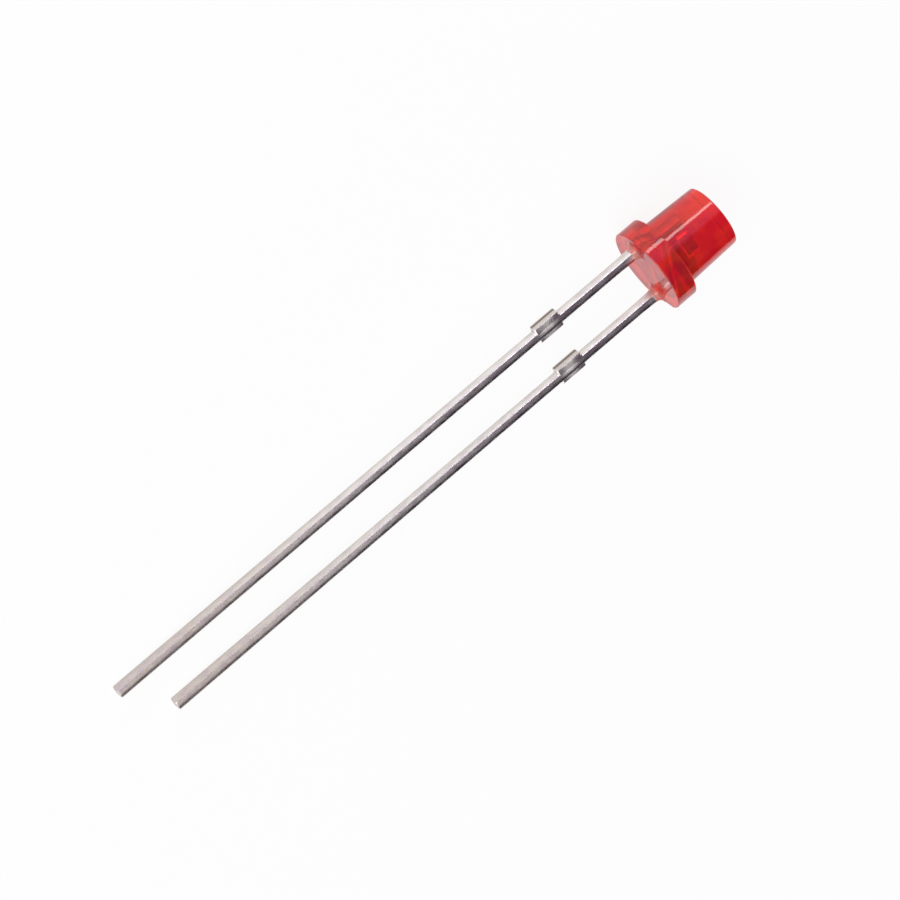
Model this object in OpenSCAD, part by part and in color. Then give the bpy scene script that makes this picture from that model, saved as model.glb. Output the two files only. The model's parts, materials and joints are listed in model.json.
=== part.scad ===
// Through hole LED of the T-1 (3 mm) size: a flat-topped tinted resin lens with a flange,
// on two square tinned leads. Millimetres. It lies as it comes to rest on a table: on the
// flange's rim and on both lead tips, with the lens end towards +Y.

/* [Lens] */
// Diameter of the barrel where it leaves the flange
barrel_d = 3.04; // [2.9:0.02:3.1]
// Diameter of the barrel at its flat top, smaller by the mould's draft
top_d = 2.86; // [2.6:0.02:2.9]
// Height of the flat top above the underside of the flange
lens_h = 3.65; // [3.4:0.05:4.5]
// Diameter of the flange
flange_d = 3.86; // [3.7:0.02:4]
// Thickness of the flange
flange_t = 0.98; // [0.9:0.02:1.2]
// Distance from the lens axis to the flat that marks the cathode side of the flange
flat_dist = 1.72; // [1.6:0.02:1.8]
// Radius of the flange's moulded edges
flange_edge_r = 0.05; // [0.03:0.01:0.12]
// Radius of the edge round the flat top
top_edge_r = 0.06; // [0.04:0.02:0.2]

/* [Resin fillets at the leads] */
// How far the resin creeps down each lead
creep_h = 0.3; // [0.1:0.05:0.4]
// Radius of the creep where it meets the flange
creep_r = 0.54; // [0.44:0.02:0.54]

/* [Leads] */
// Distance between the two leads' centre lines
lead_pitch = 2.54; // [2.5:0.02:2.6]
// Width and thickness of the square leads
lead_w = 0.45; // [0.4:0.01:0.5]
// Radius of the leads' corners, filled out by their solder dip
lead_edge_r = 0.07; // [0.04:0.01:0.14]
// Length of the anode lead below the flange
anode_len = 27.6; // [26.6:0.1:30]
// Length of the shorter cathode lead below the flange
cathode_len = 26; // [24:0.1:26.4]
// Distance from the flange down to the middle of the stand-off tabs
tab_drop = 4.85; // [3:0.05:6]
// Length of a stand-off tab along its lead
tab_len = 1.25; // [0.8:0.05:1.6]
// How far a tab stands out on the side away from the cathode flat
tab_out_far = 0.24; // [0.1:0.01:0.3]
// How far a tab stands out on the side of the cathode flat
tab_out_near = 0.13; // [0.1:0.01:0.3]

/* [Lead frame inside the resin] */
// Height at which both leads start to step in towards the axis
step_z0 = 0.3; // [0.25:0.05:0.35]
// Height at which the step is complete
step_z1 = 0.85; // [0.75:0.05:0.9]
// Distance from the axis to the outer edge of both posts
post_reach = 1.12; // [1:0.02:1.2]
// Height of the top of the anode post
post_top = 2.25; // [2.1:0.05:2.4]
// Distance from the axis to the inner edge of the anode post's head
post_gap = 0.62; // [0.56:0.02:0.7]
// Height of the anode post's head
head_h = 0.25; // [0.2:0.05:0.3]
// Distance from the axis to the inner edge of the anode post's neck
neck_gap = 0.8; // [0.74:0.02:0.86]
// Height over which the neck widens to the head
neck_ramp = 0.25; // [0.2:0.05:0.4]
// Distance from the axis to the inner edge of the cathode's anvil
anvil_reach = 0.3; // [0.25:0.01:0.35]
// How much higher the anvil's inner edge starts than the step ends
anvil_knee = 0.2; // [0.1:0.05:0.3]
// Distance from the axis to where the anvil's shoulder starts to slope down
anvil_flat = 0.62; // [0.5:0.02:0.8]
// Drop of the anvil's sloping shoulder
anvil_slope = 0.25; // [0.1:0.05:0.3]
// Height at which the anvil ends and the reflector cup begins
cup_base = 1.7; // [1.6:0.05:1.75]
// Height of the reflector cup's rim
cup_top = 2.15; // [2.1:0.05:2.3]
// Outer diameter of the reflector cup
cup_d = 0.96; // [0.9:0.02:1]
// Diameter of the cup's mouth
cup_mouth_d = 0.84; // [0.74:0.02:0.86]
// Diameter of the cup's floor
cup_floor_d = 0.5; // [0.46:0.02:0.6]
// Depth of the cup
cup_depth = 0.28; // [0.2:0.02:0.32]

/* [Chip and wire] */
// Width of the square chip
die_w = 0.26; // [0.2:0.02:0.3]
// Thickness of the chip
die_t = 0.16; // [0.1:0.02:0.2]
// Thickness of the silver-filled epoxy under the chip
attach_t = 0.02; // [0.02:0.01:0.03]
// Diameter of the pad of silver-filled epoxy
attach_d = 0.4; // [0.38:0.01:0.42]
// Diameter of the bond wire
wire_d = 0.04; // [0.03:0.01:0.04]
// Diameter of the ball that bonds the wire to the chip
ball_d = 0.1; // [0.08:0.01:0.12]
// Thickness of that ball
ball_t = 0.04; // [0.03:0.01:0.05]
// Radius of the wire's bend above the chip
loop_r = 0.16; // [0.12:0.02:0.2]
// Height of the wire's straight rise above the ball
loop_rise = 0.25; // [0.2:0.01:0.3]
// Angle through which the wire bends before it runs down to the post
loop_turn = 110; // [106:1:114]

/* [Hidden] */
$fn = 96;

flange_r = flange_d / 2;
barrel_r = barrel_d / 2;
top_r = top_d / 2;
half_lead = lead_w / 2;
lead_core = half_lead - lead_edge_r;
half_pitch = lead_pitch / 2;
overlap = 1;         // how far a cutting shape runs past what it cuts
lap = 0.1;           // how far two joined shapes of one piece run into each other
creep_skin = 0.02;   // thickness of the creep's edge on the lead's corners
creep_steps = 4;     // points on the creep's hollow slope
settle_steps = 6;    // rounds that settle the angle of rest
wire_facets = 24;    // facets round the bond wire
corner_facets = 32;  // facets round a lead's corner

// The chip stands in the cup, on its pad of epoxy.
cup_floor = cup_top - cup_depth;
die_bottom = cup_floor + attach_t;
die_top = die_bottom + die_t;

// The bond wire: up from the ball, round the bend, and straight down to the post.
ball_top = die_top + ball_t;
bend_z = ball_top + loop_rise;
bend_end = [-loop_r + loop_r * cos(loop_turn), bend_z + loop_r * sin(loop_turn)];
run_down = 90 - (loop_turn - 90);   // angle of the last run from straight down
run_length = (bend_end[1] - post_top) / cos(run_down);
wire_end_x = bend_end[0] - run_length * sin(run_down);

// The rest on a table. up is the table's normal in the part's own lying frame, where X is
// across the leads and Y is the lens axis. Both lead tips and the flange's lower rim touch.
mean_len = (anode_len + cathode_len) / 2;
lean = (anode_len - cathode_len) / lead_pitch;
rim_r = flange_r - flange_edge_r;
function up_z(uy) = sqrt(1 - (1 + lean * lean) * uy * uy);
function rim_drop(uy) = rim_r * sqrt(1 - uy * uy) + flange_edge_r * (1 - uy);
function lead_drop(uy) = lead_core * (up_z(uy) + lean * uy) + lead_edge_r * sqrt(1 - uy * uy);
function next_up_y(uy) = (rim_drop(uy) - lead_drop(uy)) / mean_len;
function settle(uy, steps) = steps == 0 ? uy : settle(next_up_y(uy), steps - 1);
up_y = settle(0, settle_steps);
pitch_angle = asin(up_y);
roll_angle = atan2(lean * up_y, up_z(up_y));
seat_height = rim_drop(up_y);
reach_front = (lens_h - top_edge_r) * cos(pitch_angle)
    + (top_r - top_edge_r) * sin(pitch_angle) + top_edge_r;
reach_back = anode_len * cos(pitch_angle) + half_lead * sin(pitch_angle);
centre_shift = (reach_back - reach_front) / 2;

// Points of a round corner of the moulded profile, from one angle to another.
corner_steps = 4;
function corner(x, z, r, from, to) =
    [for (i = [0:corner_steps]) let (a = from + (to - from) * i / corner_steps)
        [x + r * cos(a), z + r * sin(a)]];

// Lays the standing LED down as it comes to rest, over the origin.
module lie_down() {
    translate([0, centre_shift, seat_height])
        rotate([pitch_angle, 0, 0])
            rotate([0, roll_angle, 0])
                rotate([-90, 0, 0])
                    children();
}

// The resin casting's outer shape: flange, drafted barrel and flat top.
module casting() {
    e = flange_edge_r;
    t = top_edge_r;
    difference() {
        rotate_extrude()
            polygon(concat(
                [[0, 0]],
                corner(flange_r - e, e, e, -90, 0),
                corner(flange_r - e, flange_t - e, e, 0, 90),
                [[barrel_r, flange_t]],
                corner(top_r - t, lens_h - t, t, 0, 90),
                [[0, lens_h]]));
        translate([flat_dist, -flange_r, -overlap])
            cube([flange_d, flange_d, flange_t + overlap]);
    }
}

// The resin that crept down a lead as it cured. Its foot ends at the flange's flat.
module creep(x) {
    waist = lead_core * sqrt(2) + lead_edge_r + creep_skin;
    bend = creep_r - waist;
    intersection() {
        translate([x, 0, 0])
            rotate_extrude()
                polygon(concat(
                    [[0, lap], [creep_r, lap], [creep_r, 0]],
                    [for (i = [1:creep_steps]) let (a = 90 * i / (creep_steps + 1))
                        [creep_r - bend * sin(a), -creep_h * (1 - cos(a))]],
                    [[waist, -creep_h], [0, -creep_h]]));
        translate([-flange_d, -flange_d, -overlap])
            cube([flange_d + flat_dist, 2 * flange_d, 2 * overlap]);
    }
}

// A square bar along Z with round corners, over a range of heights.
module round_bar(x, z0, z1) {
    translate([x - half_lead, -lead_core, z0])
        cube([lead_w, 2 * lead_core, z1 - z0]);
    translate([x - lead_core, -half_lead, z0])
        cube([2 * lead_core, lead_w, z1 - z0]);
    for (i = [-1, 1], j = [-1, 1])
        translate([x + i * lead_core, j * lead_core, z0])
            cylinder(h = z1 - z0, r = lead_edge_r, $fn = corner_facets);
}

// One lead below the resin, with the stand-off tabs on both of its edges.
module strip(x, len) {
    tab_low = -tab_drop - tab_len / 2;
    round_bar(x, -len, tab_low);
    round_bar(x, tab_low + tab_len, step_z0 - lap / 2);
    translate([x - half_lead - tab_out_far, -half_lead, tab_low])
        cube([lead_w + tab_out_far + tab_out_near, lead_w, tab_len]);
}

// A flat piece of the stamped frame, from its outline in the plane of the leads.
module stamped(outline) {
    translate([0, half_lead, 0])
        rotate([90, 0, 0])
            linear_extrude(lead_w)
                polygon(outline);
}

module anode_frame() {
    outer = -half_pitch - half_lead;
    inner = -half_pitch + half_lead;
    neck_top = post_top - head_h - neck_ramp;
    stamped([
        [outer, step_z0 - lap], [inner, step_z0 - lap], [inner, step_z0],
        [-neck_gap, step_z1], [-neck_gap, neck_top], [-post_gap, post_top - head_h],
        [-post_gap, post_top], [-post_reach, post_top], [-post_reach, step_z1],
        [outer, step_z0]]);
    strip(-half_pitch, anode_len);
}

module cathode_frame() {
    outer = half_pitch + half_lead;
    inner = half_pitch - half_lead;
    anvil_top = cup_base + lap;
    stamped([
        [outer, step_z0 - lap], [inner, step_z0 - lap], [inner, step_z0],
        [-anvil_reach, step_z1 + anvil_knee], [-anvil_reach, cup_base],
        [anvil_reach, anvil_top], [anvil_flat, anvil_top],
        [post_reach, anvil_top - anvil_slope], [post_reach, step_z1],
        [outer, step_z0]]);
    strip(half_pitch, cathode_len);
}

// The reflector cup, coined into the top of the anvil.
module cup() {
    difference() {
        translate([0, 0, cup_base - lap])
            cylinder(h = cup_top - cup_base + lap, d = cup_d);
        cup_hollow();
    }
}

module cup_hollow() {
    slope = (cup_mouth_d - cup_floor_d) / cup_depth;
    translate([0, 0, cup_floor])
        cylinder(h = cup_depth + overlap, d1 = cup_floor_d, d2 = cup_mouth_d + slope * overlap);
}

module cathode_solid() {
    difference() {
        cathode_frame();
        cup_hollow();
    }
    cup();
}

module attach_solid() {
    translate([0, 0, cup_floor])
        cylinder(h = attach_t, d = attach_d);
}

module die_solid() {
    translate([-die_w / 2, -die_w / 2, die_bottom])
        cube([die_w, die_w, die_t]);
}

module wire_solid() {
    translate([0, 0, die_top])
        cylinder(h = ball_t, d = ball_d);
    translate([0, 0, die_top + ball_t / 2])
        cylinder(h = loop_rise + ball_t / 2, d = wire_d);
    translate([-loop_r, 0, bend_z])
        rotate([90, 0, 0])
            rotate_extrude(angle = loop_turn)
                translate([loop_r, 0])
                    circle(d = wire_d, $fn = wire_facets);
    difference() {
        translate([bend_end[0], 0, bend_end[1]])
            rotate([0, 180 + run_down, 0])
                cylinder(h = run_length + wire_d, d = wire_d, $fn = wire_facets);
        translate([wire_end_x - overlap, -overlap, post_top - overlap])
            cube([2 * overlap, 2 * overlap, overlap]);
    }
}

module lens_body() {
    color("red", 0.6)
        lie_down()
            difference() {
                union() {
                    casting();
                    creep(-half_pitch);
                    creep(half_pitch);
                }
                anode_frame();
                cathode_solid();
                attach_solid();
                die_solid();
                wire_solid();
            }
}

module anode_lead() {
    color("silver")
        lie_down()
            anode_frame();
}

module cathode_lead() {
    color("silver")
        lie_down()
            cathode_solid();
}

module led_die() {
    color("orangered")
        lie_down()
            die_solid();
}

module die_attach() {
    color("gray")
        lie_down()
            attach_solid();
}

module bond_wire() {
    color("gold")
        lie_down()
            wire_solid();
}

lens_body();
anode_lead();
cathode_lead();
led_die();
die_attach();
bond_wire();
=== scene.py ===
"""Looks of a 3 mm through hole LED: red cast resin on a stamped and tin-plated lead frame.

Every piece is modelled standing on its leads, the way the lead frame is stamped and cast: x runs
from the anode to the cathode, z up the lens axis, with the origin in the middle of the flange's
underside. lay_down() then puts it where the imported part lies. Sizes are in millimetres until then.
"""

import json
import math

import bmesh
import bpy
from mathutils import Matrix, Vector


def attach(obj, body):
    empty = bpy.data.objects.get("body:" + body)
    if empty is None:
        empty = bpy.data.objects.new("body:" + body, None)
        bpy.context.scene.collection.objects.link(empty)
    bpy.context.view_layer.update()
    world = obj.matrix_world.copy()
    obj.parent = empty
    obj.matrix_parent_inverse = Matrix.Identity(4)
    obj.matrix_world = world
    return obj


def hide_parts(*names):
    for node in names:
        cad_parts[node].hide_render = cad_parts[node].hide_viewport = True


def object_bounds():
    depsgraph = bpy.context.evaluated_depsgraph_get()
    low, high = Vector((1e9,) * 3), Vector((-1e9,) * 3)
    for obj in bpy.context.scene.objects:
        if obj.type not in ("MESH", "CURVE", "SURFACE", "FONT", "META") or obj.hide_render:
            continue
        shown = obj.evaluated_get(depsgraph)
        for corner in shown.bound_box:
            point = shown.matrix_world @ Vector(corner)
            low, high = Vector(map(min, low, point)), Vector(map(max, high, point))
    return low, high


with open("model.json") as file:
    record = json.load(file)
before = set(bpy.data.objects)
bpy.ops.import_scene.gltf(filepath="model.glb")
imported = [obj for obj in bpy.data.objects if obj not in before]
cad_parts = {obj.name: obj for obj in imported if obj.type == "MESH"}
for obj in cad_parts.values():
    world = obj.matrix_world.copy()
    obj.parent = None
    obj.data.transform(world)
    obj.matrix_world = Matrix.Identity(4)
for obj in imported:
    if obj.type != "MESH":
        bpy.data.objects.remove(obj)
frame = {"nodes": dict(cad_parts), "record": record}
CAD_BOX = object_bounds()
MM = 0.001
WELD = 1e-4 * MM                      # points closer than this are one point

# ---------------------------------------------------------------- the frame the LED stands in

MOUNTS = {mount["name"]: mount for mount in frame["record"]["mounts"]}


def standing_to_table():
    """The turn and shift from the standing LED, in metres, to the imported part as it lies."""
    base = Vector(MOUNTS["lead_pair"]["pos_m"])
    lens_axis = -Vector(MOUNTS["lead_pair"]["axis"]).normalized()
    to_shoulder = Vector(MOUNTS["flange_shoulder"]["pos_m"]) - base
    front = (lens_axis * to_shoulder.dot(lens_axis) - to_shoulder).normalized()
    across = front.cross(lens_axis)
    turn = Matrix((across, front, lens_axis)).transposed()
    return Matrix.Translation(base) @ turn.to_4x4()


TO_TABLE = standing_to_table()


def standing_box(node):
    """Lowest and highest corner of a CAD node in the standing frame, in millimetres."""
    back = TO_TABLE.inverted()
    points = [back @ v.co / MM for v in frame["nodes"][node].data.vertices]
    low = Vector([min(p[i] for p in points) for i in range(3)])
    high = Vector([max(p[i] for p in points) for i in range(3)])
    return low, high


# ---------------------------------------------------------------- sizes, in millimetres

lens_low, lens_high = standing_box("lens_body")
anode_low, anode_high = standing_box("anode_lead")
cathode_low, cathode_high = standing_box("cathode_lead")
die_low, die_high = standing_box("led_die")
attach_low, attach_high = standing_box("die_attach")
wire_low, _ = standing_box("bond_wire")

LENS_H = lens_high.z                  # flat top above the flange's underside
FLANGE_R = -lens_low.x
FLAT_AT = lens_high.x                 # the flat that marks the cathode side
FLANGE_T = (TO_TABLE.inverted() @ Vector(MOUNTS["flange_shoulder"]["pos_m"])).z / MM
BARREL_R = 1.52                       # where it leaves the flange
TOP_R = 1.43                          # at the flat top, smaller by the mould's draft
FLANGE_EDGE = 0.05                    # moulded edge radii
TOP_EDGE = 0.06
INNER_EDGE = 0.05                     # fillet between flange and barrel
CREEP_H = -lens_low.z                 # resin drawn down each lead while it cured
CREEP_R = 0.54
CREEP_ROOT = 0.1                      # how far the creep reaches up into the flange
CREEP_SKIN = 0.02                     # resin left over the lead's corners where it ends

LEAD_W = anode_high.y - anode_low.y   # square section
HALF_W = LEAD_W / 2
HALF_PITCH = 1.27
TAB_MID = -4.85                       # stand-off tabs: height, length and reach on each side
TAB_LEN = 1.25
TAB_LOW, TAB_HIGH = TAB_MID - TAB_LEN / 2, TAB_MID + TAB_LEN / 2
TAB_OUT = -HALF_PITCH - HALF_W - anode_low.x
TAB_IN = cathode_high.x - HALF_PITCH - HALF_W
STEP_LOW, STEP_HIGH = 0.3, 0.85       # where the leads step in towards the axis
POST_REACH = 1.12                     # outer edge of both posts
POST_GAP = -anode_high.x              # inner edge of the anode post
NECK_GAP = 0.8                        # inner edge of the neck under the post's head
HEAD_H = 0.25                         # height of that head's upright inner edge
NECK_RAMP = 0.25                      # height over which the head narrows to the neck
ANVIL_REACH = 0.3                     # how far the anvil reaches past the lens axis
ANVIL_KNEE = 0.2                      # rise of its lower edge on the way there
ANVIL_FLAT = 0.62                     # where its top starts to slope down, and how far down
ANVIL_SLOPE = 0.25
ANVIL_TOP = 1.8
ANVIL_DROP = 0.1                      # how much lower the anvil's inner corner is
CUP_R = 0.48                          # the cup's outside, mouth and floor
CUP_MOUTH_R = 0.42
CUP_FLOOR_R = 0.25
CUP_CORNER = 0.03                     # rounding between the cup's floor and its cone
CUP_ROOT = 0.2                        # how far the cup is sunk into the anvil
CUP_TOP = cathode_high.z
CUP_FLOOR = attach_low.z
LEAD_EDGE = 0.12                      # edges of the leads, filled out by their solder dip
SOLDER_DRAIN = 0.12                   # share of the width that the solder leaves near the lens
DRAIN_OVER = 1.0                      # below the flange, where the draining sets in
RINGS_ABOVE_TABS = (0.1, -0.5, -1.0, -2.0, -3.0)            # heights of rings cut round a lead
RINGS_BELOW_TABS = (-8.0, -12.0, -16.0, -20.0, -24.0)
BULGE_REACH = 0.15                    # from the middle of a lead's face to where its bulge ends

# ---------------------------------------------------------------- mesh helpers


def add_mesh(name, verts, faces):
    """A new object in the scene, from points in millimetres in the standing frame."""
    mesh = bpy.data.meshes.new(name)
    mesh.from_pydata([Vector(v) * MM for v in verts], [], faces)
    mesh.validate()
    piece = bpy.data.objects.new(name, mesh)
    bpy.context.scene.collection.objects.link(piece)
    return piece


def bake_modifiers(piece):
    """Turns the piece's modifiers into plain mesh."""
    graph = bpy.context.evaluated_depsgraph_get()
    mesh = bpy.data.meshes.new_from_object(piece.evaluated_get(graph))
    piece.modifiers.clear()
    piece.data = mesh
    return piece


def add_modifier(piece, kind, **settings):
    """Adds a modifier and sets its properties."""
    modifier = piece.modifiers.new(kind.title(), kind)
    for name, value in settings.items():
        setattr(modifier, name, value)
    return modifier


def combine(piece, other, operation):
    """Joins or cuts piece with another closed solid, which is then removed."""
    add_modifier(piece, "BOOLEAN", object=other, operation=operation, solver="EXACT")
    bake_modifiers(piece)
    bpy.data.objects.remove(other)
    return piece


def outward(piece):
    """Merges doubled points and points every face outwards."""
    bm = bmesh.new()
    bm.from_mesh(piece.data)
    bmesh.ops.remove_doubles(bm, verts=bm.verts, dist=WELD)
    bmesh.ops.recalc_face_normals(bm, faces=bm.faces)
    bm.to_mesh(piece.data)
    bm.free()
    return piece


def soften(piece, crease=35):
    """Smooth shading that stays flat on flat faces and sharp past the crease angle."""
    piece.data.polygons.foreach_set("use_smooth", [True] * len(piece.data.polygons))
    piece.data.set_sharp_from_angle(angle=math.radians(crease))
    # The modifier takes areas as equal where they differ by little, so it works a thousand
    # times larger, where it can tell a flat face from the thin ones round it.
    piece.data.transform(Matrix.Scale(1 / MM, 4))
    add_modifier(piece, "WEIGHTED_NORMAL", keep_sharp=True, weight=60)
    bake_modifiers(piece)
    piece.data.transform(Matrix.Scale(MM, 4))
    return piece


def arc(x, z, radius, start, end, steps=6):
    """Points of a round corner in the x, z plane, from one angle to another, in degrees."""
    angles = [math.radians(start + (end - start) * i / steps) for i in range(steps + 1)]
    return [(x + radius * math.cos(a), z + radius * math.sin(a)) for a in angles]


def lathe(name, profile, angles, radius_at=None):
    """Spins (radius, z) points round the z axis; radius_at(radius, z, angle) can bend a ring."""
    verts, faces = [], []
    for radius, z in profile:
        for angle in angles:
            r = radius_at(radius, z, angle) if radius_at else radius
            verts.append((r * math.cos(angle), r * math.sin(angle), z))
    count = len(angles)
    for ring in range(len(profile) - 1):
        for i in range(count):
            j = (i + 1) % count
            low, high = ring * count, (ring + 1) * count
            faces.append((low + i, low + j, high + j, high + i))
    faces.append(tuple(reversed(range(count))))
    faces.append(tuple(range(len(verts) - count, len(verts))))
    return outward(add_mesh(name, verts, faces))


def turns(count):
    """Evenly spaced angles of a full turn."""
    return [2 * math.pi * i / count for i in range(count)]


def dress(piece, *materials):
    """Gives the piece these materials and no others."""
    piece.data.materials.clear()
    for material in materials:
        piece.data.materials.append(material)
    return piece


def lay_down(piece, node):
    """Keeps the standing place of each point for the materials, then lays the piece down."""
    mesh = piece.data
    place = mesh.attributes.new("standing_mm", "FLOAT_VECTOR", "POINT")
    place.data.foreach_set("vector", [c / MM for v in mesh.vertices for c in v.co])
    mesh.transform(TO_TABLE)
    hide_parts(node)
    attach(piece, "root")
    return piece


# ---------------------------------------------------------------- materials


def linear(code):
    """An sRGB hex colour as the linear values that Blender works in."""
    channels = [int(code[i:i + 2], 16) / 255 for i in (1, 3, 5)]
    bent = [c / 12.92 if c <= 0.04045 else ((c + 0.055) / 1.055) ** 2.4 for c in channels]
    return (*bent, 1.0)


def add_node(tree, kind, inputs=None, **settings):
    """Adds a node, sets its properties, and fills its inputs with values or links.

    A node given as an input links its first output.
    """
    node = tree.nodes.new(kind)
    for name, value in settings.items():
        setattr(node, name, value)
    for key, value in (inputs or {}).items():
        if isinstance(value, bpy.types.Node):
            value = value.outputs[0]
        if isinstance(value, bpy.types.NodeSocket):
            tree.links.new(value, node.inputs[key])
        else:
            node.inputs[key].default_value = value
    return node


def new_material(name):
    """An empty material, its node tree, and the point's place on the standing LED in mm."""
    material = bpy.data.materials.new(name)
    material.use_nodes = True
    tree = material.node_tree
    tree.nodes.clear()
    place = add_node(tree, "ShaderNodeAttribute", attribute_name="standing_mm")
    return material, tree, place.outputs["Vector"]


def red_resin():
    """Epoxy tinted with red dye, a little cloudy inside, cast in a polished mould.

    The eye sees a deep red body in which the lead frame is only half clear, and crisp
    reflections on the moulded skin.
    """
    material, tree, place = new_material("dye_tinted_epoxy")
    # The cast skin undulates over about three quarters of a millimetre.
    waves = add_node(tree, "ShaderNodeTexNoise", {"Vector": place, "Scale": 1.3, "Detail": 2.0})
    bump = add_node(tree, "ShaderNodeBump",
                    {"Height": waves, "Strength": 0.5, "Distance": 0.012 * MM})
    # Clouds of dye, mostly a millimetre across, from crimson to orange.
    clouds = add_node(tree, "ShaderNodeTexNoise", {"Vector": place, "Scale": 1.1, "Detail": 3.0})
    clouds = add_node(tree, "ShaderNodeMapRange",
                      {"Value": clouds, "From Min": 0.4, "From Max": 0.6})
    tint = add_node(tree, "ShaderNodeMix",
                    {0: clouds, 6: linear("#e02a40"), 7: linear("#fb4a36")},
                    data_type="RGBA").outputs[2]
    # Where the resin is only a skin on the leads, its dye hardly shows.
    height = add_node(tree, "ShaderNodeSeparateXYZ", {0: place}).outputs["Z"]
    skin = add_node(tree, "ShaderNodeMapRange",
                    {"Value": height, "From Min": -0.03, "From Max": -CREEP_H * 0.6})
    tint = add_node(tree, "ShaderNodeMix", {0: skin, 6: tint, 7: linear("#ffc0b0")},
                    data_type="RGBA").outputs[2]
    body = add_node(tree, "ShaderNodeBsdfPrincipled",
                    {"Base Color": tint, "Roughness": 0.06, "IOR": 1.54,
                     "Transmission Weight": 0.74, "Normal": bump})
    through = add_node(tree, "ShaderNodeBsdfTransparent", {"Color": linear("#e8423c")})
    # The lamps shine through the skin, so they light the lead frame inside.
    path = add_node(tree, "ShaderNodeLightPath")
    surface = add_node(tree, "ShaderNodeMixShader",
                       {0: path.outputs["Is Shadow Ray"], 1: body, 2: through})
    # Density is per metre: green and blue fade within a millimetre or two, red hardly at all.
    dye = add_node(tree, "ShaderNodeVolumeAbsorption",
                   {"Color": (0.92, 0.22, 0.13, 1.0), "Density": 1050.0})
    add_node(tree, "ShaderNodeOutputMaterial", {"Surface": surface, "Volume": dye})
    return material


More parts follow.
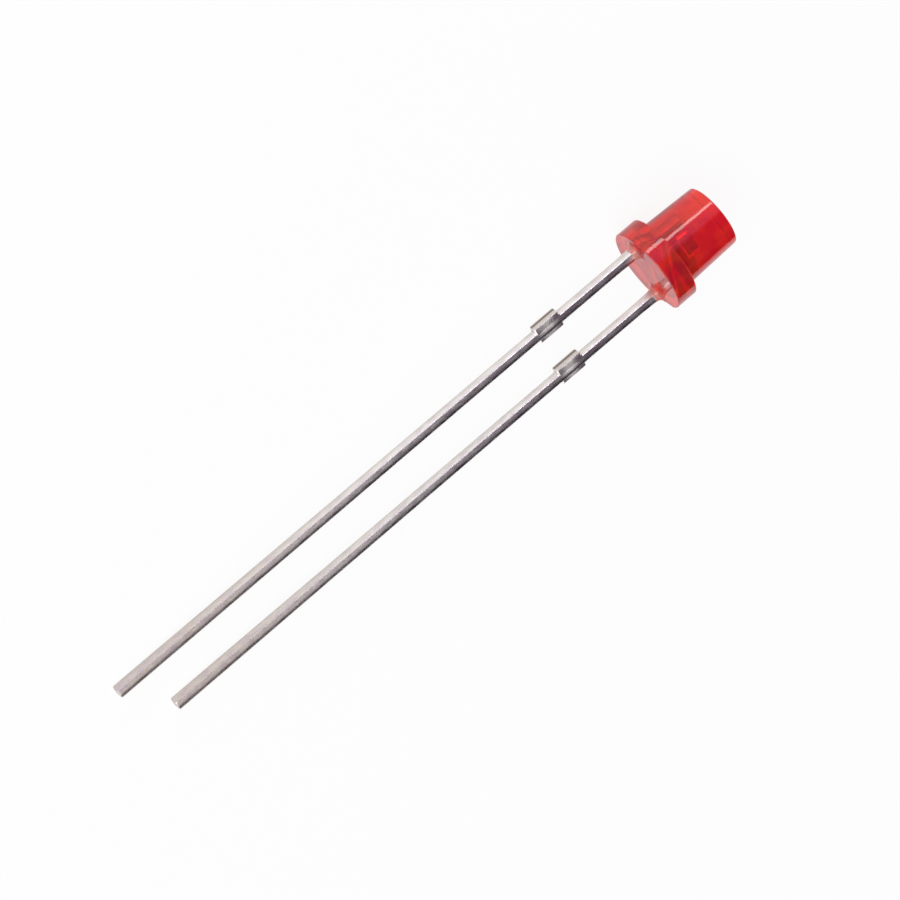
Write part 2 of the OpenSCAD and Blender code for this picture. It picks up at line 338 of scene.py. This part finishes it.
def tin_plate():
    """Bright tin plated on steel strip, reflowed until it pulled the stamped edges round.

    The eye sees a satin mirror: rolling lines along the strip, cloudy patches where the tin
    froze, and a warmer, duller, blotched skin towards the tips, where the leads are handled.
    """
    material, tree, place = new_material("tin_plated_strip")
    height = add_node(tree, "ShaderNodeSeparateXYZ", {0: place}).outputs["Z"]
    handled = add_node(tree, "ShaderNodeMapRange",
                       {"Value": height, "From Min": -13.0, "From Max": -24.0})
    # Frozen tin ripples: 0.2 mm across the strip and three times that along it.
    drawn = add_node(tree, "ShaderNodeVectorMath", {0: place, 1: (1, 1, 0.35)},
                     operation="MULTIPLY")
    ripples = add_node(tree, "ShaderNodeTexNoise",
                       {"Vector": drawn, "Scale": 5.0, "Detail": 3.0})
    # Rolling lines are 0.01 mm apart on the strip; 0.05 mm is the finest that shows.
    long_way = add_node(tree, "ShaderNodeVectorMath", {0: place, 1: (1, 1, 0.1)},
                        operation="MULTIPLY")
    lines = add_node(tree, "ShaderNodeTexNoise", {"Vector": long_way, "Scale": 20.0,
                                                  "Detail": 2.0})
    patchy = add_node(tree, "ShaderNodeMapRange",
                      {"Value": ripples, "From Min": 0.35, "From Max": 0.65})
    bright = add_node(tree, "ShaderNodeMix",
                      {0: patchy, 6: linear("#fbf8f5"), 7: linear("#e6e0e2")},
                      data_type="RGBA").outputs[2]
    dull = add_node(tree, "ShaderNodeMix",
                    {0: patchy, 6: linear("#dcd3c8"), 7: linear("#cbbfc4")},
                    data_type="RGBA").outputs[2]
    colour = add_node(tree, "ShaderNodeMix", {0: handled, 6: bright, 7: dull},
                      data_type="RGBA").outputs[2]
    # Painted shade: the tin is greyer towards the side that lies down, standing in for the floor's
    # shadow seen in its side faces.
    depth = add_node(tree, "ShaderNodeSeparateXYZ", {0: place}).outputs["Y"]
    painted_floor_shade = add_node(tree, "ShaderNodeMapRange",
                      {"Value": depth, "From Min": -HALF_W / 2, "From Max": HALF_W,
                       "To Max": 0.8})
    colour = add_node(tree, "ShaderNodeMix", {0: painted_floor_shade, 6: colour, 7: linear("#cac2b8")},
                      data_type="RGBA").outputs[2]
    smear = add_node(tree, "ShaderNodeMapRange",
                     {"Value": ripples, "From Min": 0.35, "From Max": 0.65,
                      "To Min": 0.14, "To Max": 0.24})
    roughness = add_node(tree, "ShaderNodeMath", {0: handled, 1: 0.1, 2: smear},
                         operation="MULTIPLY_ADD")
    # The tin stands proud in the middle of each face and slopes off towards the edges.
    offset = add_node(tree, "ShaderNodeVectorMath", {0: place}, operation="ABSOLUTE")
    offset = add_node(tree, "ShaderNodeVectorMath", {0: offset, 1: (-HALF_PITCH, 0, 0)},
                      operation="ADD")
    offset = add_node(tree, "ShaderNodeVectorMath", {0: offset}, operation="ABSOLUTE")
    offset = add_node(tree, "ShaderNodeVectorMath",
                      {0: offset, 1: (BULGE_REACH, BULGE_REACH, 0)}, operation="MINIMUM")
    away = add_node(tree, "ShaderNodeVectorMath", {0: offset, 1: offset},
                    operation="DOT_PRODUCT").outputs["Value"]
    bulge = add_node(tree, "ShaderNodeMath", {0: 2 * BULGE_REACH ** 2, 1: away},
                     operation="SUBTRACT")
    bulged = add_node(tree, "ShaderNodeBump",
                      {"Height": bulge, "Strength": 1.0, "Distance": 0.9 * MM})
    # It gathers in a mound over each pair of stand-off tabs.
    from_tab = add_node(tree, "ShaderNodeMath", {0: height, 1: TAB_MID + 0.5},
                        operation="SUBTRACT")
    from_tab = add_node(tree, "ShaderNodeMath", {0: from_tab}, operation="ABSOLUTE")
    mound = add_node(tree, "ShaderNodeMapRange",
                     {"Value": from_tab, "From Min": 0.0, "From Max": 1.1,
                      "To Min": 1.0, "To Max": 0.0}, interpolation_type="SMOOTHSTEP")
    mounded = add_node(tree, "ShaderNodeBump",
                       {"Height": mound, "Strength": 1.0, "Distance": 0.045 * MM,
                        "Normal": bulged})
    rolled = add_node(tree, "ShaderNodeBump",
                      {"Height": lines, "Strength": 0.15, "Distance": 0.01 * MM,
                       "Normal": mounded})
    frozen = add_node(tree, "ShaderNodeBump",
                      {"Height": ripples, "Strength": 0.4, "Distance": 0.02 * MM,
                       "Normal": rolled})
    metal = add_node(tree, "ShaderNodeBsdfPrincipled",
                     {"Base Color": colour, "Metallic": 1.0, "Roughness": roughness,
                      "Normal": frozen})
    add_node(tree, "ShaderNodeOutputMaterial", {"Surface": metal})
    return material


def sheared_steel():
    """Steel bared where the tie bars and the tips were sheared off.

    The eye sees a face burnished by the punch, with a grey-brown, torn line across it.
    """
    material, tree, place = new_material("sheared_steel")
    # The punch drags its marks across the thickness, so they are three times as long that way.
    dragged = add_node(tree, "ShaderNodeVectorMath", {0: place, 1: (1, 0.35, 1)},
                       operation="MULTIPLY")
    grain = add_node(tree, "ShaderNodeTexNoise",
                     {"Vector": dragged, "Scale": 12.0, "Detail": 4.0})
    depth = add_node(tree, "ShaderNodeSeparateXYZ", {0: place}).outputs["Y"]
    off_tear = add_node(tree, "ShaderNodeMath", {0: depth, 1: 0.06}, operation="SUBTRACT")
    off_tear = add_node(tree, "ShaderNodeMath", {0: off_tear}, operation="ABSOLUTE")
    broken = add_node(tree, "ShaderNodeMapRange",
                      {"Value": off_tear, "From Min": 0.02, "From Max": 0.10})
    colour = add_node(tree, "ShaderNodeMix",
                      {0: broken, 6: linear("#857970"), 7: linear("#d9d4cd")},
                      data_type="RGBA").outputs[2]
    roughness = add_node(tree, "ShaderNodeMapRange",
                         {"Value": broken, "To Min": 0.5, "To Max": 0.25})
    bump = add_node(tree, "ShaderNodeBump",
                    {"Height": grain, "Strength": 0.6, "Distance": 0.02 * MM})
    metal = add_node(tree, "ShaderNodeBsdfPrincipled",
                     {"Base Color": colour, "Metallic": 1.0, "Roughness": roughness,
                      "Normal": bump})
    add_node(tree, "ShaderNodeOutputMaterial", {"Surface": metal})
    return material


def chip_crystal():
    """Gallium arsenide phosphide, sawn from a wafer: a dull, dark yellow-grey crystal."""
    material, tree, place = new_material("sawn_crystal")
    grain = add_node(tree, "ShaderNodeTexNoise", {"Vector": place, "Scale": 50.0, "Detail": 2.0})
    colour = add_node(tree, "ShaderNodeMix",
                      {0: grain, 6: linear("#7c5f2e"), 7: linear("#a48a52")},
                      data_type="RGBA").outputs[2]
    crystal = add_node(tree, "ShaderNodeBsdfPrincipled",
                       {"Base Color": colour, "Roughness": 0.35, "IOR": 3.3})
    add_node(tree, "ShaderNodeOutputMaterial", {"Surface": crystal})
    return material


def silver_epoxy():
    """Epoxy filled with silver flake: a satin grey paste that cured with a rounded edge."""
    material, tree, place = new_material("silver_filled_epoxy")
    flakes = add_node(tree, "ShaderNodeTexNoise", {"Vector": place, "Scale": 65.0,
                                                   "Detail": 2.0})
    colour = add_node(tree, "ShaderNodeMix",
                      {0: flakes, 6: linear("#8d8d8b"), 7: linear("#c9c9c6")},
                      data_type="RGBA").outputs[2]
    paste = add_node(tree, "ShaderNodeBsdfPrincipled",
                     {"Base Color": colour, "Metallic": 0.5, "Roughness": 0.45})
    add_node(tree, "ShaderNodeOutputMaterial", {"Surface": paste})
    return material


def gold():
    """Drawn gold wire and the chip's gold pad: a soft yellow metal with a bright polish."""
    material, tree, place = new_material("drawn_gold")
    polish = add_node(tree, "ShaderNodeTexNoise", {"Vector": place, "Scale": 33.0,
                                                   "Detail": 2.0})
    roughness = add_node(tree, "ShaderNodeMapRange",
                         {"Value": polish, "From Min": 0.3, "From Max": 0.7,
                          "To Min": 0.15, "To Max": 0.3})
    metal = add_node(tree, "ShaderNodeBsdfPrincipled",
                     {"Base Color": linear("#f2c46a"), "Metallic": 1.0,
                      "Roughness": roughness})
    add_node(tree, "ShaderNodeOutputMaterial", {"Surface": metal})
    return material


# ---------------------------------------------------------------- the resin casting

ROUND_STEPS = 256


def flange_outline(radius, z, angle):
    """Radius of a flange ring at an angle: round, but cut by the flat on the cathode side."""
    if z > FLANGE_T or radius <= BARREL_R:
        return radius
    inset = FLANGE_R - radius
    toward_flat = math.cos(angle)
    if toward_flat * radius <= FLAT_AT - inset:
        return radius
    return (FLAT_AT - inset) / toward_flat


def casting():
    """The casting's outer surface: D-shaped flange, drafted barrel and flat top."""
    e, t, f = FLANGE_EDGE, TOP_EDGE, INNER_EDGE
    profile = (
        arc(FLANGE_R - e, e, e, -90, 0)
        + arc(FLANGE_R - e, FLANGE_T - e, e, 0, 90)
        + arc(BARREL_R + f, FLANGE_T + f, f, -90, -180)
        + arc(TOP_R - t, LENS_H - t, t, 0, 90)
    )
    corner = math.acos(FLAT_AT / FLANGE_R)
    angles = sorted(turns(ROUND_STEPS) + [corner, 2 * math.pi - corner])
    return lathe("resin_lens", profile, angles, flange_outline)


def creep(x):
    """Resin that crept down one lead, a hollow fillet that ends at the flange's flat."""
    waist = (HALF_W - LEAD_EDGE) * math.sqrt(2) + LEAD_EDGE + CREEP_SKIN
    bend = CREEP_R - waist
    slope = [(CREEP_R - bend * math.sin(a), -CREEP_H * (1 - math.cos(a)))
             for a in (math.radians(s) for s in range(0, 91, 10))]
    piece = lathe("creep", [(CREEP_R, CREEP_ROOT)] + slope, turns(96))
    piece.data.transform(Matrix.Translation((x * MM, 0, 0)))
    reach = 2 * FLANGE_R
    limit = add_mesh("limit", *block((-reach, -reach, -1), (FLAT_AT, reach, 1)))
    return combine(piece, limit, "INTERSECT")


def block(low, high):
    """Points and faces of a box."""
    verts = [(x, y, z) for x in (low[0], high[0]) for y in (low[1], high[1])
             for z in (low[2], high[2])]
    faces = [(0, 1, 3, 2), (4, 6, 7, 5), (0, 4, 5, 1), (2, 3, 7, 6), (0, 2, 6, 4), (1, 5, 7, 3)]
    return verts, faces


def resin_lens():
    """The casting with the resin that crept down both leads."""
    piece = casting()
    for x in (-HALF_PITCH, HALF_PITCH):
        combine(piece, creep(x), "UNION")
    return dress(soften(outward(piece), crease=32), red_resin())


# ---------------------------------------------------------------- the stamped leads


def strip_outline(side, length):
    """The lead's two edges with their stand-off tabs: up the left one, and down the right one.

    side is -1 for the anode and 1 for the cathode. The tabs stand out further on the anode's
    side of both leads, because the tie bar was sheared off centre.
    """
    x = side * HALF_PITCH
    left, right = x - HALF_W, x + HALF_W
    up_left = [(left, -length), (left, TAB_LOW), (left - TAB_OUT, TAB_LOW),
               (left - TAB_OUT, TAB_HIGH), (left, TAB_HIGH), (left, STEP_LOW)]
    down_right = [(right, STEP_LOW), (right, TAB_HIGH), (right + TAB_IN, TAB_HIGH),
                  (right + TAB_IN, TAB_LOW), (right, TAB_LOW), (right, -length)]
    return up_left, down_right


def stamp(name, outline):
    """A flat piece of strip with stamped edges, from its outline in the plane of the leads."""
    count = len(outline)
    verts = [(x, y, z) for y in (-HALF_W, HALF_W) for x, z in outline]
    faces = [tuple(range(count)), tuple(reversed(range(count, 2 * count)))]
    for i in range(count):
        j = (i + 1) % count
        faces.append((i, j, count + j, count + i))
    piece = outward(add_mesh(name, verts, faces))
    add_modifier(piece, "BEVEL", width=LEAD_EDGE * MM, segments=4, limit_method="ANGLE",
                 angle_limit=math.radians(10))
    return bake_modifiers(piece)


def thicken_to_tip(piece, side, length):
    """Thins the strip below the flange: the solder it was dipped in ran down to the tip.

    Rings are cut round the strip first, to bend at and to keep the shading of its corners local.
    """
    past_edge = LEAD_EDGE + 0.03           # clear of the rounded corners of tabs and tip
    rings = [*RINGS_ABOVE_TABS, TAB_HIGH + past_edge, TAB_LOW - past_edge, *RINGS_BELOW_TABS,
             past_edge - length]
    bm = bmesh.new()
    bm.from_mesh(piece.data)
    for z in rings:
        bmesh.ops.bisect_plane(bm, geom=[*bm.verts, *bm.edges, *bm.faces], dist=WELD,
                               plane_co=(0, 0, z * MM), plane_no=(0, 0, 1))
    bm.to_mesh(piece.data)
    bm.free()
    x = side * HALF_PITCH * MM
    strip_only = (HALF_W + 0.001) * MM     # leaves the reach of the tabs as it is
    for vertex in piece.data.vertices:
        z = vertex.co.z / MM
        if z > 0:
            continue
        drained = SOLDER_DRAIN * min(-z / DRAIN_OVER, 1.0) * (1 - (z / length) ** 2)
        vertex.co.y *= 1 - drained
        if abs(vertex.co.x - x) < strip_only:
            vertex.co.x = x + (vertex.co.x - x) * (1 - drained)
    return piece


def mark_sheared(piece, side):
    """Gives the tab ends and the tip the bare sheared steel."""
    tip = min(v.co.z for v in piece.data.vertices)
    x = side * HALF_PITCH
    near_end, flush = 0.9, 0.005           # share of a tab's reach; distance from the tip
    for face in piece.data.polygons:
        off = face.center.x / MM - x
        in_tab = abs(face.center.z / MM - TAB_MID) < TAB_LEN / 2
        tab_end = in_tab and (off < -HALF_W - TAB_OUT * near_end
                              or off > HALF_W + TAB_IN * near_end)
        at_tip = abs(face.center.z - tip) < flush * MM
        face.material_index = 1 if tab_end or at_tip else 0


def anode():
    """The long lead, with the flag-shaped post that the bond wire lands on."""
    up_left, down_right = strip_outline(-1, -anode_low.z)
    neck_top = anode_high.z - HEAD_H - NECK_RAMP
    post = [(-POST_REACH, STEP_HIGH), (-POST_REACH, anode_high.z), (-POST_GAP, anode_high.z),
            (-POST_GAP, anode_high.z - HEAD_H), (-NECK_GAP, neck_top), (-NECK_GAP, STEP_HIGH)]
    strip = stamp("anode_strip", up_left + post + down_right)
    return thicken_to_tip(strip, -1, -anode_low.z)


def cathode():
    """The short lead, with the anvil that carries the cup."""
    up_left, down_right = strip_outline(1, -cathode_low.z)
    anvil = [(-ANVIL_REACH, STEP_HIGH + ANVIL_KNEE), (-ANVIL_REACH, ANVIL_TOP - ANVIL_DROP),
             (ANVIL_REACH, ANVIL_TOP), (ANVIL_FLAT, ANVIL_TOP),
             (POST_REACH, ANVIL_TOP - ANVIL_SLOPE), (POST_REACH, STEP_HIGH)]
    strip = stamp("cathode_strip", up_left + anvil + down_right)
    return thicken_to_tip(strip, 1, -cathode_low.z)


def reflector_cup():
    """The cup coined into the anvil: a cone with a rounded rim, sunk into the anvil."""
    rim = (CUP_R - CUP_MOUTH_R) / 2
    profile = (
        [(CUP_R, ANVIL_TOP - CUP_ROOT)]
        + arc(CUP_R - rim, CUP_TOP - rim, rim, 0, 150, steps=8)
        + arc(CUP_FLOOR_R + CUP_CORNER, CUP_FLOOR + CUP_CORNER, CUP_CORNER, -30, -90, steps=4)
    )
    return lathe("cup", profile, turns(128))


def plated(piece, side, tin, steel):
    """A lead shaded smooth and given its tin plate, but for its sheared ends."""
    dress(soften(piece, crease=40), tin, steel)
    mark_sheared(piece, side)
    return piece


# ---------------------------------------------------------------- chip, pad and wire


def chip():
    """The chip with its saw step: the wafer is cut partly from the top before it is parted."""
    half = (die_high.x - die_low.x) / 2
    kerf, uncut = 0.012, 0.55              # width of the step, and its share of the height
    step_z = die_low.z + (die_high.z - die_low.z) * uncut
    piece = add_mesh("chip", *block((-half, -half, die_low.z), (half, half, step_z)))
    top = add_mesh("chip_top", *block((-half + kerf, -half + kerf, step_z - kerf),
                                      (half - kerf, half - kerf, die_high.z)))
    combine(outward(piece), outward(top), "UNION")
    add_modifier(piece, "BEVEL", width=0.003 * MM, segments=2, limit_method="ANGLE")
    bake_modifiers(piece)
    return soften(outward(piece), crease=40)


def chip_pad():
    """The bead of silver epoxy under the chip, with a rounded edge."""
    radius, thick = attach_high.x, attach_high.z - attach_low.z
    bead = thick / 2
    profile = arc(radius - bead, attach_low.z + bead, bead, -90, 90, steps=8)
    return soften(lathe("chip_pad", profile, turns(96)))


def wire_tree():
    """Sweeps a round wire along the object's own curve and ends it with the gold material."""
    tree = bpy.data.node_groups.new("bonded_wire", "GeometryNodeTree")
    face = tree.interface
    face.new_socket("Geometry", in_out="INPUT", socket_type="NodeSocketGeometry")
    face.new_socket("Wire radius", in_out="INPUT", socket_type="NodeSocketFloat")
    face.new_socket("Facets", in_out="INPUT", socket_type="NodeSocketInt")
    face.new_socket("Finish", in_out="INPUT", socket_type="NodeSocketMaterial")
    face.new_socket("Geometry", in_out="OUTPUT", socket_type="NodeSocketGeometry")
    given = add_node(tree, "NodeGroupInput")
    route = add_node(tree, "GeometryNodeMeshToCurve", {"Mesh": given.outputs["Geometry"]})
    section = add_node(tree, "GeometryNodeCurvePrimitiveCircle",
                       {"Resolution": given.outputs["Facets"],
                        "Radius": given.outputs["Wire radius"]})
    swept = add_node(tree, "GeometryNodeCurveToMesh",
                     {"Curve": route.outputs["Curve"],
                      "Profile Curve": section.outputs["Curve"], "Fill Caps": True})
    smooth = add_node(tree, "GeometryNodeSetShadeSmooth", {"Geometry": swept.outputs["Mesh"]})
    real = add_node(tree, "GeometryNodeRealizeInstances",
                    {"Geometry": smooth.outputs["Geometry"]})
    dressed = add_node(tree, "GeometryNodeSetMaterial",
                       {"Geometry": real.outputs["Geometry"],
                        "Material": given.outputs["Finish"]})
    add_node(tree, "NodeGroupOutput", {"Geometry": dressed.outputs["Geometry"]})
    return tree


def set_inputs(modifier, **values):
    """Sets a Geometry Nodes modifier's named inputs; underscores stand for spaces."""
    for item in modifier.node_group.interface.items_tree:
        if item.in_out == "INPUT" and item.name.replace(" ", "_") in values:
            modifier[item.identifier] = values[item.name.replace(" ", "_")]


def bond_wire(finish):
    """Gold wire: up from its ball on the chip, round a bend, and down to the anode post."""
    wire_r, loop_r, rise, turn = 0.02, 0.16, 0.25, 110
    ball_r, ball_t = 0.05, 0.04
    foot_up = 0.6 * wire_r                 # under a radius, because the foot is pressed down
    ball_top = wire_low.z + ball_t
    bend = arc(-loop_r, ball_top + rise, loop_r, 0, turn, steps=24)
    end_x, end_z = bend[-1]
    down = math.radians(180 - turn)
    run = (end_z - anode_high.z) / math.cos(down)
    foot = (end_x - run * math.sin(down), anode_high.z + foot_up)
    route = [(0, ball_top - ball_t / 2)] + bend + [foot]
    mesh = bpy.data.meshes.new("wire")
    mesh.from_pydata([Vector((x, 0, z)) * MM for x, z in route],
                     [(i, i + 1) for i in range(len(route) - 1)], [])
    piece = bpy.data.objects.new("gold_wire", mesh)
    bpy.context.scene.collection.objects.link(piece)
    modifier = add_modifier(piece, "NODES", node_group=wire_tree())
    set_inputs(modifier, Wire_radius=wire_r * MM, Facets=20, Finish=finish)
    bake_modifiers(piece)
    edge = ball_t / 2
    ball = lathe("ball", arc(ball_r - edge, wire_low.z + edge, edge, -90, 90, steps=8), turns(48))
    return soften(combine(outward(piece), ball, "UNION"), crease=50)


# ---------------------------------------------------------------- build every piece

tin, steel = tin_plate(), sheared_steel()

lay_down(resin_lens(), "lens_body")
lay_down(plated(anode(), -1, tin, steel), "anode_lead")
cathode_piece = combine(cathode(), reflector_cup(), "UNION")
lay_down(plated(cathode_piece, 1, tin, steel), "cathode_lead")

lay_down(dress(chip(), chip_crystal()), "led_die")
lay_down(dress(chip_pad(), silver_epoxy()), "die_attach")
lay_down(bond_wire(gold()), "bond_wire")

# ---------------------------------------------------------------- floor, world, lamps, camera

SIZE = (CAD_BOX[1] - CAD_BOX[0]).length
CENTRE = (CAD_BOX[0] + CAD_BOX[1]) / 2
FLOOR_Z = CAD_BOX[0].z
HEAD = TO_TABLE @ Vector((0, 0, LENS_H / 2 * MM))
ROOM_LIGHT = 1.25                     # strength of the room
FLOOR_REACH = 40 * SIZE               # far enough that its edge is out of sight


def white_floor():
    """Matt white card. It glows in part, so that it stays white where the LED shades it."""
    material, tree, _ = new_material("white_card")
    card = add_node(tree, "ShaderNodeBsdfDiffuse", {"Color": linear("#f4f4f4")})
    glow = add_node(tree, "ShaderNodeEmission", {"Color": linear("#ffffff"), "Strength": 1.0})
    path = add_node(tree, "ShaderNodeLightPath")
    # Metal and resin show the same white card, with more of the LED's own shadow in it.
    mirrored = add_node(tree, "ShaderNodeMath",
                        {0: path.outputs["Is Glossy Ray"],
                         1: path.outputs["Is Transmission Ray"]}, operation="MAXIMUM")
    mirrored = add_node(tree, "ShaderNodeMath", {0: mirrored, 1: 0.5}, operation="MULTIPLY")
    share = add_node(tree, "ShaderNodeMath",
                     {0: path.outputs["Is Camera Ray"], 1: 0.9, 2: mirrored},
                     operation="MULTIPLY_ADD")
    surface = add_node(tree, "ShaderNodeMixShader", {0: share, 1: card, 2: glow})
    add_node(tree, "ShaderNodeOutputMaterial", {"Surface": surface})
    return material


def lay_floor():
    """The card that the LED lies on."""
    corners = [(-1, -1), (1, -1), (1, 1), (-1, 1)]
    mesh = bpy.data.meshes.new("floor")
    mesh.from_pydata([(x * FLOOR_REACH, y * FLOOR_REACH, FLOOR_Z) for x, y in corners],
                     [], [(0, 1, 2, 3)])
    floor = bpy.data.objects.new("floor", mesh)
    bpy.context.scene.collection.objects.link(floor)
    mesh.materials.append(white_floor())


def studio():
    """A soft room: white low down all round, and higher up dim past the lens.

    It is dark high on the cathode's side and lilac high on the anode's side.
    """
    world = bpy.data.worlds.new("studio")
    world.use_nodes = True
    bpy.context.scene.world = world
    tree = world.node_tree
    tree.nodes.clear()
    toward = add_node(tree, "ShaderNodeTexCoord").outputs["Generated"]
    parts = add_node(tree, "ShaderNodeSeparateXYZ", {0: toward})
    dim = add_node(tree, "ShaderNodeMapRange",
                   {"Value": parts.outputs["Y"], "From Min": 0.01, "From Max": 0.11},
                   interpolation_type="SMOOTHSTEP")
    cathode_side = Vector((0.99, 0.10, 0.0)).normalized()
    past = add_node(tree, "ShaderNodeVectorMath", {0: toward, 1: cathode_side},
                    operation="DOT_PRODUCT").outputs["Value"]
    dark = add_node(tree, "ShaderNodeMapRange",
                    {"Value": past, "From Min": 0.70, "From Max": 0.88},
                    interpolation_type="SMOOTHSTEP")
    room = add_node(tree, "ShaderNodeMix",
                    {0: dim, 6: linear("#fbf8f7"), 7: linear("#50484f")},
                    data_type="RGBA").outputs[2]
    room = add_node(tree, "ShaderNodeMix", {0: dark, 6: room, 7: linear("#241d28")},
                    data_type="RGBA").outputs[2]
    anode_side = Vector((-0.75, 0.38, 0.53)).normalized()
    wall = add_node(tree, "ShaderNodeVectorMath", {0: toward, 1: anode_side},
                    operation="DOT_PRODUCT").outputs["Value"]
    lilac = add_node(tree, "ShaderNodeMapRange",
                     {"Value": wall, "From Min": 0.91, "From Max": 0.985},
                     interpolation_type="SMOOTHSTEP")
    room = add_node(tree, "ShaderNodeMix", {0: lilac, 6: room, 7: linear("#bda4d2")},
                    data_type="RGBA").outputs[2]
    # Every ray sees the same white backdrop behind the floor, up to about 10 degrees.
    white = 1 / ROOM_LIGHT
    high_up = add_node(tree, "ShaderNodeMapRange",
                       {"Value": parts.outputs["Z"], "From Min": 0.15, "From Max": 0.22},
                       interpolation_type="SMOOTHSTEP")
    room = add_node(tree, "ShaderNodeMix",
                    {0: high_up, 6: (white, white, white, 1.0), 7: room},
                    data_type="RGBA").outputs[2]
    sky = add_node(tree, "ShaderNodeBackground", {"Color": room, "Strength": ROOM_LIGHT})
    add_node(tree, "ShaderNodeOutputWorld", {"Surface": sky})


def add_lamp(name, toward, distance, size, radiance, target):
    """A soft area lamp in a direction from its target, as bright to look at as radiance."""
    data = bpy.data.lights.new(name, "AREA")
    data.shape = "RECTANGLE"
    data.size, data.size_y = size
    data.energy = radiance * math.pi * size[0] * size[1]
    lamp = bpy.data.objects.new(name, data)
    direction = Vector(toward).normalized()
    lamp.location = target + direction * distance
    lamp.rotation_euler = direction.to_track_quat("Z", "Y").to_euler()
    bpy.context.scene.collection.objects.link(lamp)
    return lamp


def look_from(aim, turn, elevation, roll, distance, lens):
    """A camera that looks at aim. turn is from +Y towards +X; roll is about its own axis."""
    turn, elevation, roll = (math.radians(a) for a in (turn, elevation, roll))
    forward = Vector((math.sin(turn) * math.cos(elevation), math.cos(turn) * math.cos(elevation),
                      -math.sin(elevation)))
    right = forward.cross(Vector((0, 0, 1))).normalized()
    up = right.cross(forward)
    up, right = (up * math.cos(roll) + right * math.sin(roll),
                 right * math.cos(roll) - up * math.sin(roll))
    data = bpy.data.cameras.new("camera")
    data.lens = lens
    data.sensor_width = 36
    data.clip_start, data.clip_end = distance / 50, distance * 50
    camera = bpy.data.objects.new("camera", data)
    turned = Matrix((right, up, -forward)).transposed().to_4x4()
    camera.matrix_world = Matrix.Translation(aim - forward * distance) @ turned
    bpy.context.scene.collection.objects.link(camera)
    bpy.context.scene.camera = camera


lay_floor()
studio()
add_lamp("soft_box", toward=(-0.50, -0.62, 0.60), distance=0.40, size=(0.30, 0.30),
         radiance=3.0, target=CENTRE)
add_lamp("strip_light", toward=(-0.93, 0.28, 0.23), distance=0.25, size=(0.065, 0.036),
         radiance=6.0, target=HEAD)
look_from(CENTRE + Vector((-0.130, 0.759, 0)) * MM, turn=70.73, elevation=46.52, roll=-122.85,
          distance=167.35 * MM, lens=166.9)
bpy.context.scene.view_settings.view_transform = "Standard"
